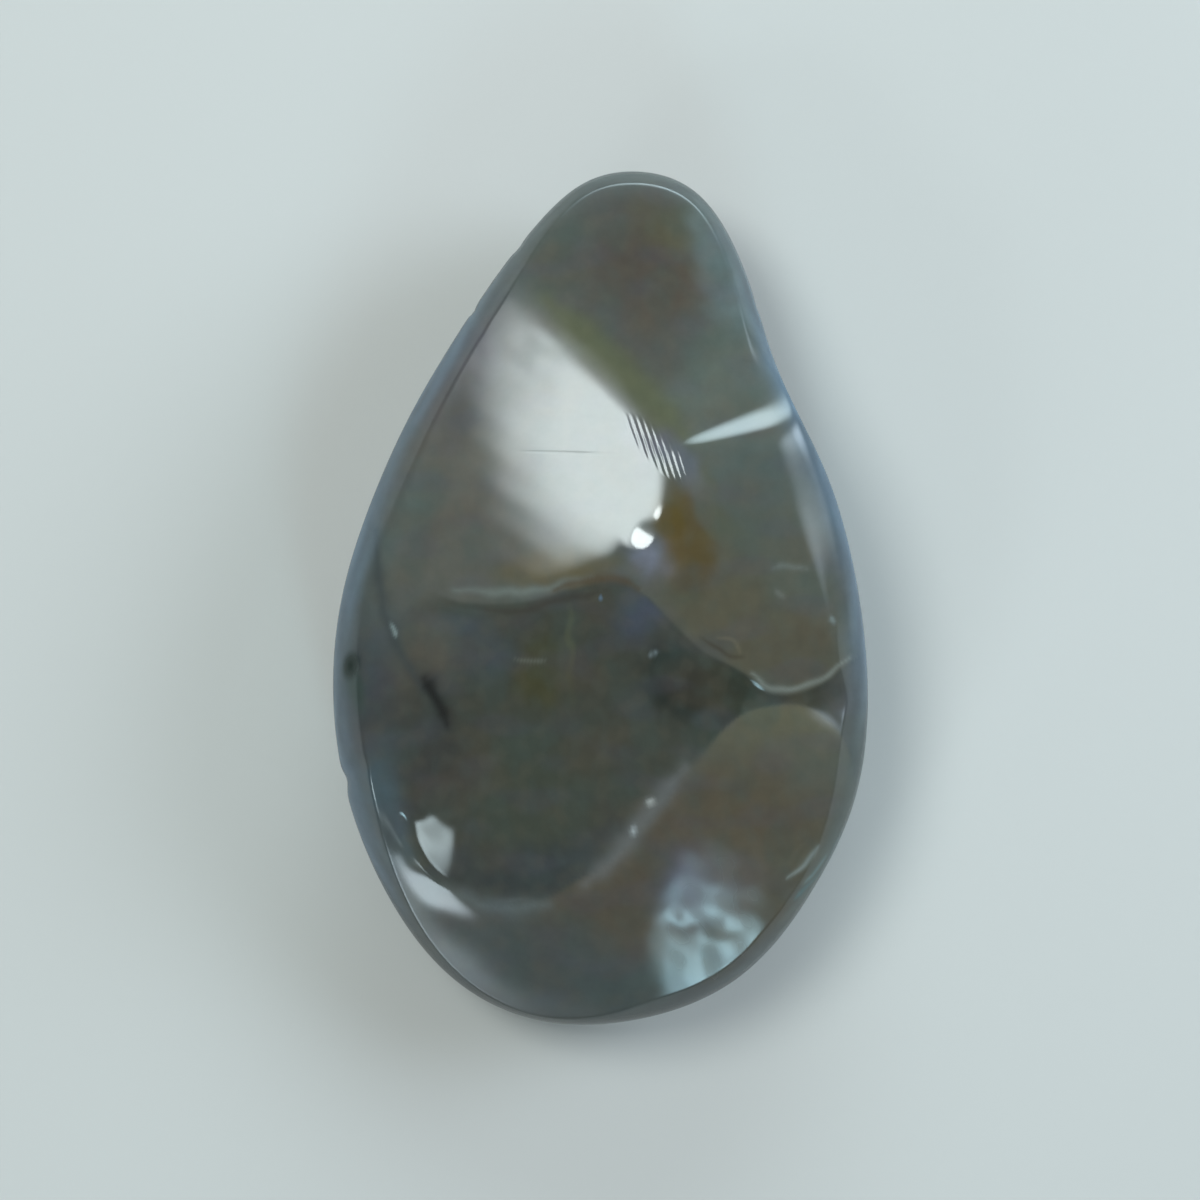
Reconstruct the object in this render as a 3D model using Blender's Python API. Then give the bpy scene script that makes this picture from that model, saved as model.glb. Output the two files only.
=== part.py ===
"""Agate: a polished freeform stone with a teardrop outline, one natural piece.

The stone lies on its flattened underside with its length along +Y and its
narrow end, the nose, towards +Y.  Its origin is the middle of its footprint.
Lengths in the tables below are millimetres and become metres in the mesh.
"""
import bmesh
import bpy
import numpy as np

MM = 0.001

# ---- driving dimensions ---------------------------------------------------
LENGTH = 52.0                # along Y
SEGMENTS = 96                # steps round the stone
RINGS = 44                   # steps from the middle of the top to that of the sole

# The girdle, the widest line round the stone, anticlockwise from the nose: its
# outline from above and its height above the table, where its bend changes.
GIRDLE = [
    (2.2, 26.0, 8.6), (-1.0, 25.3, 8.7), (-3.9, 22.7, 9.3), (-7.6, 17.7, 9.8),
    (-11.1, 12.0, 9.7), (-14.2, 5.2, 9.5), (-15.8, -0.2, 9.3), (-16.3, -6.0, 8.9),
    (-15.4, -12.4, 8.0), (-12.9, -18.6, 6.6), (-8.7, -23.8, 5.6), (-4.4, -25.9, 5.8),
    (2.3, -25.9, 6.6), (8.4, -23.3, 7.4), (12.7, -18.2, 8.6), (15.3, -12.8, 9.3),
    (16.2, -7.5, 9.8), (16.0, -2.5, 10.6), (15.0, 3.0, 12.0), (13.4, 7.8, 13.3),
    (11.4, 11.9, 13.9), (10.1, 15.4, 11.8), (8.3, 20.9, 10.2), (5.9, 24.6, 9.2),
]
GIRDLE_MIDDLE = 9.0          # height that the girdle's level has in the middle

# Ground faces: a point on the face, its height above the table there, and its
# slope along X and Y, downhill on the upper side and uphill on the lower one.
SUMMIT = (5.5, 7.5)          # where the three upper faces meet
PEAK = (3.2, 2.8)            # lower end of the crest that starts at the summit
TOP_FACES = {
    "left": (SUMMIT, 16.6, (-0.22, 0.05)),
    "brow": ((3.6, 8.0), 16.16, (-0.03, 0.05)),
    "nose": (SUMMIT, 16.6, (-0.05, 0.215)),
    "right": (SUMMIT, 16.6, (0.13, -0.14)),
    "low": (PEAK, 16.2, (-0.09, -0.16)),
    "flank": ((-11.0, -4.0), 14.0, (-0.34, -0.06)),
    "corner": ((-8.0, -15.4), 12.3, (-0.21, -0.37)),
    "heel": ((3.0, -18.5), 12.8, (0.04, -0.26)),
}
UNDER_FACES = {
    "left": ((-5.0, 2.0), 0.0, (-0.30, 0.02)),
    "nose": ((2.0, 9.0), 0.0, (-0.03, 0.24)),
    "right": ((6.0, -2.0), 0.0, (0.38, 0.03)),
    "heel": ((0.0, -12.5), 0.0, (0.03, -0.24)),
}
TOP_CROWN = 0.007            # bend of the upper faces, 1/mm
RIDGE_ROUNDING = 0.14        # softness of the ridges between faces
# Softness of the turn from the faces into the rim: in general, on the right
# side, and the middle and spread of that side in radians.
SHOULDER_ROUNDING = (0.06, 0.6, np.radians(25.0), np.radians(28.0))
UNDER_ROUNDING = 0.5         # softness of the turn from the lower faces into the belly
RIM_ROUND = (1.0, 0.9)       # width and height of the rounded edge above the girdle
RIM_SLOPE = 0.9              # slope of the rim behind it
RIM_BEND = 0.12              # and how fast that steepens inwards, 1/mm
BELLY_FULLNESS = 1.12        # above 1 the belly reaches the table before the middle
BELLY_SQUARENESS = 3.0

# The dished hollow in the lower half: a tilted oval with one side cut straight.
HOLLOW_MIDDLE = (-3.0, -9.15)
HOLLOW_HALF_SIZE = (11.5, 8.6)
HOLLOW_TURN = np.radians(25.0)
HOLLOW_DEPTH = 0.7
HOLLOW_CUT = ((0.06, -17.0), (8.5, -6.8))
HOLLOW_CUT_WIDTH = 6.0
HOLLOW_LIP = 0.12

# The valley beside the lobe and the step at the waist: start, end, the widths
# at those two points and the depths there.
GAP = ((8.0, -6.0), (16.0, -6.2), (0.8, 1.6), (0.2, 0.4))
WAIST = ((5.0, 9.2), (11.4, 11.4), (0.65, 2.5), (0.3, 1.2))
WAIST_FADE = 5.0             # reach of the step into the nose

# The rounded lobe at the lower right: middle, reach and height.
LOBE = ((12.0, -10.6), 4.2, 0.5)

AGATE_COLOUR = (0.062, 0.058, 0.046, 1.0)
AGATE_ROUGHNESS = 0.08


def closed_curve(angle, value):
    """Return value(angle) round a closed curve: a cubic between the given
    angles whose slope and bend carry on across each one."""
    order = np.argsort(angle)
    angle = angle[order]
    value = value[order]
    count = len(angle)
    step = np.diff(np.append(angle, angle[0] + 2.0 * np.pi))
    before = np.roll(step, 1)
    after = np.roll(np.arange(count), -1)
    system = np.diag(2.0 * (before + step))
    for here, ahead in enumerate(after):
        system[here, ahead] += step[here]
        system[ahead, here] += step[here]
    rise = (value[after] - value) / step
    bend = np.linalg.solve(system, 6.0 * (rise - np.roll(rise, 1)))

    def value_at(theta):
        turned = (theta - angle[0]) % (2.0 * np.pi) + angle[0]
        here = np.clip(np.searchsorted(angle, turned, side="right") - 1, 0, count - 1)
        ahead = after[here]
        width = step[here]
        along = (turned - angle[here]) / width
        back = 1.0 - along
        line = back * value[here] + along * value[ahead]
        curve = (back ** 3 - back) * bend[here] + (along ** 3 - along) * bend[ahead]
        return line + width ** 2 / 6.0 * curve

    return value_at


def girdle_curves():
    """Radius and height of the girdle, each as a function of the angle."""
    x, y, z = np.array(GIRDLE).T
    angle = np.arctan2(y, x) % (2.0 * np.pi)
    return closed_curve(angle, np.hypot(x, y)), closed_curve(angle, z)


def soft_least(heights, rounding):
    """The least of several heights, with the corners between them rounded."""
    least = np.min(heights, axis=0)
    excess = np.sum(np.exp((least - heights) / rounding), axis=0)
    return least - rounding * np.log(excess)


def ground_faces(faces, x, y):
    """Height of the solid that the ground faces cut out, before rounding."""
    heights = []
    for (at_x, at_y), height, (fall_x, fall_y) in faces.values():
        heights.append(height - fall_x * (x - at_x) - fall_y * (y - at_y))
    return soft_least(np.array(heights), RIDGE_ROUNDING)


def inside_hollow(x, y):
    """Positive inside the hollow's oval and its straight cut, 0 on its edge."""
    dx = x - HOLLOW_MIDDLE[0]
    dy = y - HOLLOW_MIDDLE[1]
    along = (dx * np.cos(HOLLOW_TURN) + dy * np.sin(HOLLOW_TURN)) / HOLLOW_HALF_SIZE[0]
    across = (dy * np.cos(HOLLOW_TURN) - dx * np.sin(HOLLOW_TURN)) / HOLLOW_HALF_SIZE[1]
    inside_oval = 1.0 - along ** 2 - across ** 2
    start, end = np.array(HOLLOW_CUT)
    run = (end - start) / np.linalg.norm(end - start)
    inside_cut = (run[0] * (y - start[1]) - run[1] * (x - start[0])) / HOLLOW_CUT_WIDTH
    return np.minimum(inside_oval, inside_cut)


def hollow_depth(x, y):
    """Depth of the dished hollow: a bowl with a softened lip."""
    return HOLLOW_DEPTH * HOLLOW_LIP * np.logaddexp(0.0, inside_hollow(x, y) / HOLLOW_LIP)


def along_line(line, x, y):
    """How far along a line the point lies, 0 to 1, its distance to the left of
    the line, and the width and depth given for the line's ends, taken there."""
    (start_x, start_y), (end_x, end_y), widths, depths = line
    run_x = end_x - start_x
    run_y = end_y - start_y
    length = np.hypot(run_x, run_y)
    along = ((x - start_x) * run_x + (y - start_y) * run_y) / length ** 2
    aside = (run_x * (y - start_y) - run_y * (x - start_x)) / length
    held = np.clip(along, 0.0, 1.0)
    width = widths[0] + (widths[1] - widths[0]) * held
    depth = depths[0] + (depths[1] - depths[0]) * held
    return along, aside, width, depth


def gap_depth(x, y):
    """Depth of the valley between the right face and the lobe."""
    along, aside, width, depth = along_line(GAP, x, y)
    past = np.minimum(along, 0.0) * np.hypot(GAP[1][0] - GAP[0][0], GAP[1][1] - GAP[0][1])
    return depth * np.exp(-(aside ** 2 + past ** 2) / width ** 2)


def waist_depth(x, y):
    """Depth of the step down from the right face to the nose, which dies out
    away from the step and towards the middle of the stone."""
    along, aside, width, depth = along_line(WAIST, x, y)
    step = 1.0 / (1.0 + np.exp(-aside / width * 4.0))
    start = 1.0 / (1.0 + np.exp(-np.clip(along * 12.0, -30.0, 30.0)))
    return depth * start * step * np.exp(-np.maximum(aside, 0.0) / WAIST_FADE)


def shoulder_rounding(x, y):
    """Softness of the turn into the rim: crisp, but soft on the right side."""
    crisp, soft, middle, spread = SHOULDER_ROUNDING
    turn = np.arctan2(y, x) - middle
    return crisp + (soft - crisp) * np.exp(-(turn / spread) ** 2)


def girdle_level(x, y, reach):
    """Level that the rim rises from: the girdle's height on the outline,
    levelling out to one height in the middle."""
    _, height = girdle_curves()
    return GIRDLE_MIDDLE + (height(np.arctan2(y, x)) - GIRDLE_MIDDLE) * reach ** 2


def main_forms(x, y):
    """Height of the ground faces with their crown, hollow, gap, step and lobe."""
    height = ground_faces(TOP_FACES, x, y)
    height -= 0.5 * TOP_CROWN * (x ** 2 + y ** 2)
    height -= hollow_depth(x, y) + gap_depth(x, y) + waist_depth(x, y)
    (lobe_x, lobe_y), lobe_reach, lobe_height = LOBE
    return height + lobe_height * np.exp(-((x - lobe_x) ** 2 + (y - lobe_y) ** 2) / lobe_reach ** 2)


def top_height(x, y, reach):
    """Height of the upper side; reach is 0 in the middle and 1 on the outline."""
    height = main_forms(x, y)
    radius, _ = girdle_curves()
    inset = (1.0 - reach) * radius(np.arctan2(y, x))
    width, height_of_round = RIM_ROUND
    rim = height_of_round * np.sqrt(1.0 - (1.0 - np.minimum(inset / width, 1.0)) ** 2)
    rim += RIM_SLOPE * inset + RIM_BEND * inset ** 2
    girdle = girdle_level(x, y, reach)
    above = np.minimum(rim, soft_least(np.array([height - girdle, rim]), shoulder_rounding(x, y)))
    return girdle + above


def under_height(x, y, reach):
    """Height of the lower side: a rounded belly, ground faces, and the flat
    that the stone rests on."""
    depth = ground_faces(UNDER_FACES, x, y)
    drop = BELLY_FULLNESS * np.sqrt(np.clip(1.0 - reach ** BELLY_SQUARENESS, 0.0, 1.0))
    belly = girdle_level(x, y, reach) * (1.0 - drop)
    height = -soft_least(np.array([depth, -belly]), UNDER_ROUNDING)
    return np.maximum(height, 0.0)


def shape_stone(points):
    """Turn points on the unit sphere into points on the stone, in metres."""
    reach = np.clip(np.hypot(points[:, 0], points[:, 1]), 0.0, 1.0)
    theta = np.arctan2(points[:, 1], points[:, 0])
    outline, _ = girdle_curves()
    radius = outline(theta) * reach
    x = radius * np.cos(theta)
    y = radius * np.sin(theta)
    height = np.where(points[:, 2] >= 0.0, top_height(x, y, reach), under_height(x, y, reach))
    stone = np.column_stack((x, y, height))
    middle = (stone[:, :2].max(axis=0) + stone[:, :2].min(axis=0)) / 2.0
    stone[:, :2] -= middle
    stone[:, :2] *= LENGTH / np.ptp(stone[:, 1])
    return stone * MM


def agate_material():
    """Grey-olive chalcedony with a high polish."""
    material = bpy.data.materials.new("agate_chalcedony")
    material.use_nodes = True
    shader = material.node_tree.nodes["Principled BSDF"]
    shader.inputs["Base Color"].default_value = AGATE_COLOUR
    shader.inputs["Roughness"].default_value = AGATE_ROUGHNESS
    shader.inputs["Metallic"].default_value = 0.0
    return material


def build_agate(collection):
    """Shape a sphere into the stone."""
    sphere = bmesh.new()
    bmesh.ops.create_uvsphere(sphere, u_segments=SEGMENTS, v_segments=RINGS, radius=1.0)
    mesh = bpy.data.meshes.new("agate")
    sphere.to_mesh(mesh)
    sphere.free()
    points = np.empty(len(mesh.vertices) * 3)
    mesh.vertices.foreach_get("co", points)
    mesh.vertices.foreach_set("co", shape_stone(points.reshape(-1, 3)).ravel())
    mesh.update()
    mesh.shade_smooth()
    mesh.materials.append(agate_material())
    stone = bpy.data.objects.new("agate", mesh)
    collection.objects.link(stone)


def main():
    for old in list(bpy.data.objects):
        bpy.data.objects.remove(old)
    collection = bpy.data.collections.new("agate")
    bpy.context.scene.collection.children.link(collection)
    build_agate(collection)


main()
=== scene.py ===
"""Finish of the agate: a polished freeform of grey-olive chalcedony, lit softly on a pale table.

The stone is one fine surface that replaces the plain solid.  Its shape comes
from the same ground faces, hollow and valleys as the solid, with the small
marks of a hand-polished stone on top.  Lengths named here are millimetres.
"""

import bpy
import numpy as np
from mathutils import Matrix, Vector


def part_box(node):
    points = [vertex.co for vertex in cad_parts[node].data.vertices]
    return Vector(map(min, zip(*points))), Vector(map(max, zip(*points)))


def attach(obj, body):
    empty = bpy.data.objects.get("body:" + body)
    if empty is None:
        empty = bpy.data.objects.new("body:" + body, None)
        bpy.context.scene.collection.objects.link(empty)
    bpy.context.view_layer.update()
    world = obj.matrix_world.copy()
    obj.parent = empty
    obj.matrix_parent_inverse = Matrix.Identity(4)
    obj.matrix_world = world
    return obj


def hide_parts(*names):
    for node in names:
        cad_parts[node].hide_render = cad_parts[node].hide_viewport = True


MM = 0.001

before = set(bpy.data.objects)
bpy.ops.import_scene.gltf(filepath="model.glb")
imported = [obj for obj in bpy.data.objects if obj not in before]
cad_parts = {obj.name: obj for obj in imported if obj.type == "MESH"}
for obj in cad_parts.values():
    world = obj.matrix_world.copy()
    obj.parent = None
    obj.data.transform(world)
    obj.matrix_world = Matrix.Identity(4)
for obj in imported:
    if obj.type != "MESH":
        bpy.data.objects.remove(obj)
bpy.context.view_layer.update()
low_corner, high_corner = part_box("agate")
LENGTH = (high_corner[1] - low_corner[1]) / MM

# ---- shape of the stone ----
SEGMENTS = 500               # steps round the stone
TOP_RINGS = 146              # steps from the middle of the top out to the girdle
UNDER_RINGS = 50             # steps from the girdle in to the middle of the sole

# The girdle, the widest line round the stone, anticlockwise from the nose: its
# outline from above and its height above the table, where its bend changes.
GIRDLE = [
    (2.2, 26.0, 8.6), (-1.0, 25.3, 8.7), (-3.9, 22.7, 9.3), (-7.6, 17.7, 9.8),
    (-11.1, 12.0, 9.7), (-14.2, 5.2, 9.5), (-15.8, -0.2, 9.3), (-16.3, -6.0, 8.9),
    (-15.4, -12.4, 8.0), (-12.9, -18.6, 6.6), (-8.7, -23.8, 5.6), (-4.4, -25.9, 5.8),
    (2.3, -25.9, 6.6), (8.4, -23.3, 7.4), (12.7, -18.2, 8.6), (15.3, -12.8, 9.3),
    (16.2, -7.5, 9.8), (16.0, -2.5, 10.6), (15.0, 3.0, 12.0), (13.4, 7.8, 13.3),
    (11.4, 11.9, 13.9), (10.1, 15.4, 11.8), (8.3, 20.9, 10.2), (5.9, 24.6, 9.2),
]
GIRDLE_MIDDLE = 9.0          # height that the girdle's level has in the middle

# Ground faces: a point on the face, its height above the table there, and its
# slope along X and Y, downhill on the upper side and uphill on the lower one.
SUMMIT = (5.5, 7.5)
PEAK = (3.2, 2.8)
TOP_FACES = {
    "left": (SUMMIT, 16.6, (-0.22, 0.05)),
    "brow": ((3.6, 8.0), 16.16, (-0.03, 0.05)),
    "nose": (SUMMIT, 16.6, (-0.05, 0.215)),
    "right": (SUMMIT, 16.6, (0.13, -0.14)),
    "low": (PEAK, 16.2, (-0.09, -0.16)),
    "flank": ((-11.0, -4.0), 14.0, (-0.34, -0.06)),
    "corner": ((-8.0, -15.4), 12.3, (-0.21, -0.37)),
    "heel": ((3.0, -18.5), 12.8, (0.04, -0.26)),
}
UNDER_FACES = {
    "left": ((-5.0, 2.0), 0.0, (-0.30, 0.02)),
    "nose": ((2.0, 9.0), 0.0, (-0.03, 0.24)),
    "right": ((6.0, -2.0), 0.0, (0.38, 0.03)),
    "heel": ((0.0, -12.5), 0.0, (0.03, -0.24)),
}
TOP_CROWN = 0.007            # bend of the upper faces, 1/mm
RIDGE_ROUNDING = 0.14        # softness of the ridges between faces
SHOULDER_CRISP = 0.025       # softness of the turn from the faces into the rim
SHOULDER_SOFT = ((0.6, 25.0, 28.0), (0.3, 178.0, 28.0))    # where softer: softness, angle, spread
UNDER_ROUNDING = 0.5         # softness of the turn from the lower faces into the belly
RIM_ROUND = (1.0, 0.9)       # width and height of the rounded edge above the girdle
RIM_SLOPE = 0.9              # slope of the rim behind it
RIM_BEND = 0.12              # and how fast that steepens inwards, 1/mm
BELLY_FULLNESS = 1.12        # above 1 the belly reaches the table before the middle
BELLY_SQUARENESS = 3.0       # power of the curve it follows, which is 2 for an ellipse

# The dished hollow: an oval bowl, cut off straight on its lower right.
HOLLOW_MIDDLE = (-3.0, -9.15)
HOLLOW_HALF_SIZE = (11.5, 8.6)
HOLLOW_TURN = np.radians(25.0)
HOLLOW_DEPTH = 0.7
HOLLOW_CUT = ((0.06, -17.0), (8.5, -6.8))    # two points on the cut; the hollow is on its left
HOLLOW_CUT_WIDTH = 6.0       # distance from the cut at which the bowl reaches its depth
HOLLOW_LIP = 0.12            # softness of its edge

# The valley between the right face and the lobe, and the step at the waist: the
# start and end of each one's line, and its width and depth at the two.
GAP = ((8.0, -6.0), (16.0, -6.2), (0.8, 1.6), (0.2, 0.4))
WAIST = ((4.4, 9.0), (11.4, 11.4), (0.75, 3.0), (0.35, 1.45))
WAIST_START = 1.0 / 3.0      # softness of the step's start, as a share of its length
WAIST_FADE = 5.0             # distance over which the step dies out
LOBE = ((12.0, -10.6), 4.2, 0.5)    # middle, reach and height

# Edges in the surface, each a path: of the ledge over the hollow, of the
# hollow's far lip, of the right face and of the lobe below it.
LEDGE = [(-10.2, 0.4), (-8.2, -0.3), (-4.8, -0.3), (-1.8, 0.5), (0.7, 1.0), (2.6, 0.2)]
ARC = [(-12.6, -12.4), (-12.0, -14.3), (-11.4, -15.4), (-10.7, -16.5), (-9.8, -17.3), (-8.7, -17.8),
       (-7.4, -18.4), (-6.2, -18.7), (-4.6, -18.5), (-3.0, -18.1), (-1.5, -17.1), (0.1, -16.2),
       (3.1, -13.4), (6.1, -9.0), (8.5, -6.8)]
RIGHT_EDGE = [(2.6, 0.2), (4.4, -1.6), (6.1, -3.2), (7.6, -4.0), (8.8, -4.7), (9.9, -5.6),
              (11.4, -5.8), (13.2, -5.2), (15.2, -3.8)]
LOBE_EDGE = [(4.2, -13.2), (6.0, -9.6), (8.2, -7.2), (10.4, -6.5), (12.4, -6.6), (14.2, -7.9),
             (15.2, -10.0), (15.5, -13.0), (14.2, -15.4)]

# The raised lip along the hollow's far edge.
LIP = (0.18, 0.3, 1.0)       # height, width inside and width outside the edge
LIP_RISE = 0.12              # share of the edge over which it rises to its height
LIP_DROP = (0.8, 0.28, 0.2)  # how much it then drops, from where and over what share
# The chip inside the hollow's lower left: a flat with four sides.
CHIP_MIDDLE = (-9.95, -15.1)
CHIP_FALL = (-0.30, -0.30)   # its slope, downhill along X and Y
# Its sides: distance from the middle, and lean per millimetre along the side.
CHIP_LEFT = (-1.60, -0.17)
CHIP_RIGHT = (1.65, 0.20)
CHIP_FOOT = (-2.10, -0.50)
CHIP_HEAD = (2.00, -0.05)
CHIP_EDGE = 0.90             # softness of the sides
CHIP_CROWN = 0.03            # bend of its face, 1/mm
# The fleck, a small round flat on the brow: middle, radius and slope.
FLECK = ((2.4, 3.35), 1.0, (-0.10, 0.06))
FLECK_EDGE = 0.9
# Grooves: along three of the edges, in the crack, round the nodule at the left,
# and across the heel's uneven patch.  Path, depth, half width, offset to the left.
GROOVES = (
    (LEDGE, 0.018, 0.30, -0.25),
    (RIGHT_EDGE, 0.05, 0.32, -0.25),
    (LOBE_EDGE, 0.02, 0.30, 0.25),
    ([(-10.8, -4.6), (-10.0, -5.9), (-9.3, -7.4)], 0.05, 0.35, 0.0),
    ([(-13.6, 3.4), (-12.9, 0.4), (-12.2, -2.6), (-11.4, -4.2)], 0.025, 0.30, 0.0),
    ([(3.8, -19.0), (4.9, -19.8), (6.2, -19.4), (7.5, -20.2), (9.2, -19.8)], 0.04, 0.55, 0.0),
)
GROOVE_ENDS = 1.0 / 7.0      # share of a groove over which each end runs out
PIT = ((-15.05, -4.15), 0.42, 0.28)    # near the left rim: middle, radius, depth
# Nicks in the outline: angle in degrees, half width in degrees, depth.
NICKS = ((103.2, 1.0, 0.10), (114.0, 0.9, 0.12), (215.6, 1.7, 0.22), (62.0, 1.2, 0.06))
NICK_HOLD = 12               # power of the reach, which keeps them to the girdle
# Unevenness of the hand polish all over: seed, size and height of its waves.
WAVES = ((20, 7.0, 0.006), (21, 2.4, 0.0012))
# The uneven patch of the heel: middle, half size, edge; size and height of its waves.
CLOUDS = ((7.2, -20.2), (3.6, 3.6), 0.5, 2.3, 0.018)
# Ripples at the lower right rim: middle, half size, turn, edge; pitch and height.
RIPPLES = ((13.0, -16.4), (2.2, 1.5), 38.0, 0.4, 0.62, 0.02)
RIPPLE_BEND = (3.0, 0.25)    # size and amount of the bends along them

WANDER_WAVES = 9             # sine waves that make an irregular field
WANDER_PITCH = (0.7, 1.6)    # shortest and longest of them, as shares of its size


def wander(x, y, size, seed):
    """Smooth irregular field of about -1 to 1: the sum of sine waves of about
    one size in many directions, over the square root of their number."""
    rng = np.random.default_rng(seed)
    total = np.zeros_like(x)
    for _ in range(WANDER_WAVES):
        heading, phase = rng.uniform(0.0, 2.0 * np.pi, 2)
        pitch = size * rng.uniform(*WANDER_PITCH)
        total += np.sin((x * np.cos(heading) + y * np.sin(heading)) * 2.0 * np.pi / pitch + phase)
    return total / np.sqrt(WANDER_WAVES)


def smooth_path(points, steps=8):
    """Points along a Catmull-Rom curve through the given points."""
    p = np.array(points, dtype=float)
    p = np.concatenate(([2 * p[0] - p[1]], p, [2 * p[-1] - p[-2]]))
    t = np.linspace(0.0, 1.0, steps, endpoint=False)[:, None]
    pieces = []
    for a, b, c, d in zip(p[:-3], p[1:-2], p[2:-1], p[3:]):
        pieces.append(0.5 * (2 * b + (c - a) * t + (2 * a - 5 * b + 4 * c - d) * t ** 2
                             + (3 * b - a - 3 * c + d) * t ** 3))
    return np.concatenate(pieces + [p[-2:-1]])


def path_distance(points, x, y):
    """Distance from a path, positive on its left, and how far along it, 0 to 1."""
    path = smooth_path(points)
    best = np.full(x.shape, np.inf)
    side = np.ones(x.shape)
    along = np.zeros(x.shape)
    for k, (start, end) in enumerate(zip(path[:-1], path[1:])):
        run = end - start
        t = np.clip(((x - start[0]) * run[0] + (y - start[1]) * run[1]) / (run @ run), 0.0, 1.0)
        away_x = x - start[0] - t * run[0]
        away_y = y - start[1] - t * run[1]
        away = np.hypot(away_x, away_y)
        nearer = away < best
        best = np.where(nearer, away, best)
        side = np.where(nearer, np.sign(run[0] * away_y - run[1] * away_x), side)
        along = np.where(nearer, (k + t) / (len(path) - 1), along)
    return best * np.where(side < 0.0, -1.0, 1.0), along


def fade(value, edge, softness):
    """1 where value is under edge and 0 above: a logistic curve whose steepest
    slope would make the whole step over the softness."""
    return 1.0 / (1.0 + np.exp(np.clip((value - edge) / (softness * 0.25), -40.0, 40.0)))


def rise(value, edge, softness):
    """0 where value is under edge and 1 above, over the same soft step."""
    return fade(-value, -edge, softness)


def bell(distance, width):
    """1 at no distance and next to nothing at twice the width: e to the power
    of minus the square of their ratio."""
    return np.exp(-(distance / width) ** 2)


def degrees_from(middle, theta):
    """Angle theta, in radians, as degrees from the middle, -180 to 180."""
    return (np.degrees(theta) - middle + 180.0) % 360.0 - 180.0


def oval(x, y, middle, half_size, turn, softness):
    """1 inside an oval of the given half size and turn in degrees, and 0
    outside, with a soft edge."""
    turn = np.radians(turn)
    dx = x - middle[0]
    dy = y - middle[1]
    along = (dx * np.cos(turn) + dy * np.sin(turn)) / half_size[0]
    across = (dy * np.cos(turn) - dx * np.sin(turn)) / half_size[1]
    return fade(np.hypot(along, across), 1.0, softness * 2.0)


def closed_curve(angle, value):
    """Return value(angle) round a closed curve: a cubic between the given
    angles whose slope and bend carry on across each one."""
    order = np.argsort(angle)
    angle = angle[order]
    value = value[order]
    count = len(angle)
    step = np.diff(np.append(angle, angle[0] + 2.0 * np.pi))
    before = np.roll(step, 1)
    after = np.roll(np.arange(count), -1)
    system = np.diag(2.0 * (before + step))
    for here, ahead in enumerate(after):
        system[here, ahead] += step[here]
        system[ahead, here] += step[here]
    slope = (value[after] - value) / step
    bend = np.linalg.solve(system, 6.0 * (slope - np.roll(slope, 1)))

    def value_at(theta):
        turned = (theta - angle[0]) % (2.0 * np.pi) + angle[0]
        here = np.clip(np.searchsorted(angle, turned, side="right") - 1, 0, count - 1)
        ahead = after[here]
        width = step[here]
        along = (turned - angle[here]) / width
        back = 1.0 - along
        line = back * value[here] + along * value[ahead]
        curve = (back ** 3 - back) * bend[here] + (along ** 3 - along) * bend[ahead]
        return line + width ** 2 / 6.0 * curve

    return value_at


def girdle_curves():
    """Radius and height of the girdle, each as a function of the angle."""
    x, y, z = np.array(GIRDLE).T
    angle = np.arctan2(y, x) % (2.0 * np.pi)
    return closed_curve(angle, np.hypot(x, y)), closed_curve(angle, z)


def soft_least(heights, rounding):
    """The least of several heights, with the corners between them rounded: minus
    the rounding times the log of the sum of e to the power of -height / rounding."""
    least = np.min(heights, axis=0)
    excess = np.sum(np.exp((least - heights) / rounding), axis=0)
    return least - rounding * np.log(excess)


def flat(x, y, at, height, fall):
    """Height of a flat face that has the given height at a point, and falls off
    by its slope times the distance from there along X and Y."""
    return height - fall[0] * (x - at[0]) - fall[1] * (y - at[1])


def ground_faces(faces, x, y):
    """Height of the solid that the ground faces cut out: the least of them."""
    heights = [flat(x, y, *face) for face in faces.values()]
    return soft_least(np.array(heights), RIDGE_ROUNDING)


def inside_hollow(x, y):
    """Positive inside the hollow's oval and its straight cut, 0 on its edge."""
    dx = x - HOLLOW_MIDDLE[0]
    dy = y - HOLLOW_MIDDLE[1]
    along = (dx * np.cos(HOLLOW_TURN) + dy * np.sin(HOLLOW_TURN)) / HOLLOW_HALF_SIZE[0]
    across = (dy * np.cos(HOLLOW_TURN) - dx * np.sin(HOLLOW_TURN)) / HOLLOW_HALF_SIZE[1]
    inside_oval = 1.0 - along ** 2 - across ** 2
    start, end = np.array(HOLLOW_CUT)
    run = (end - start) / np.linalg.norm(end - start)
    inside_cut = (run[0] * (y - start[1]) - run[1] * (x - start[0])) / HOLLOW_CUT_WIDTH
    return np.minimum(inside_oval, inside_cut)


def hollow_depth(x, y):
    """Depth of the dished hollow: its depth times how far inside the point
    lies, which is never below 0, with that corner softened."""
    return HOLLOW_DEPTH * HOLLOW_LIP * np.logaddexp(0.0, inside_hollow(x, y) / HOLLOW_LIP)


def along_line(line, x, y):
    """How far along a line the point lies, 0 to 1, its distance to the left of
    the line, and the width and depth given for the line's ends, taken there."""
    (start_x, start_y), (end_x, end_y), widths, depths = line
    run_x = end_x - start_x
    run_y = end_y - start_y
    length = np.hypot(run_x, run_y)
    along = ((x - start_x) * run_x + (y - start_y) * run_y) / length ** 2
    aside = (run_x * (y - start_y) - run_y * (x - start_x)) / length
    held = np.clip(along, 0.0, 1.0)
    width = widths[0] + (widths[1] - widths[0]) * held
    depth = depths[0] + (depths[1] - depths[0]) * held
    return along, aside, width, depth


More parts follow.
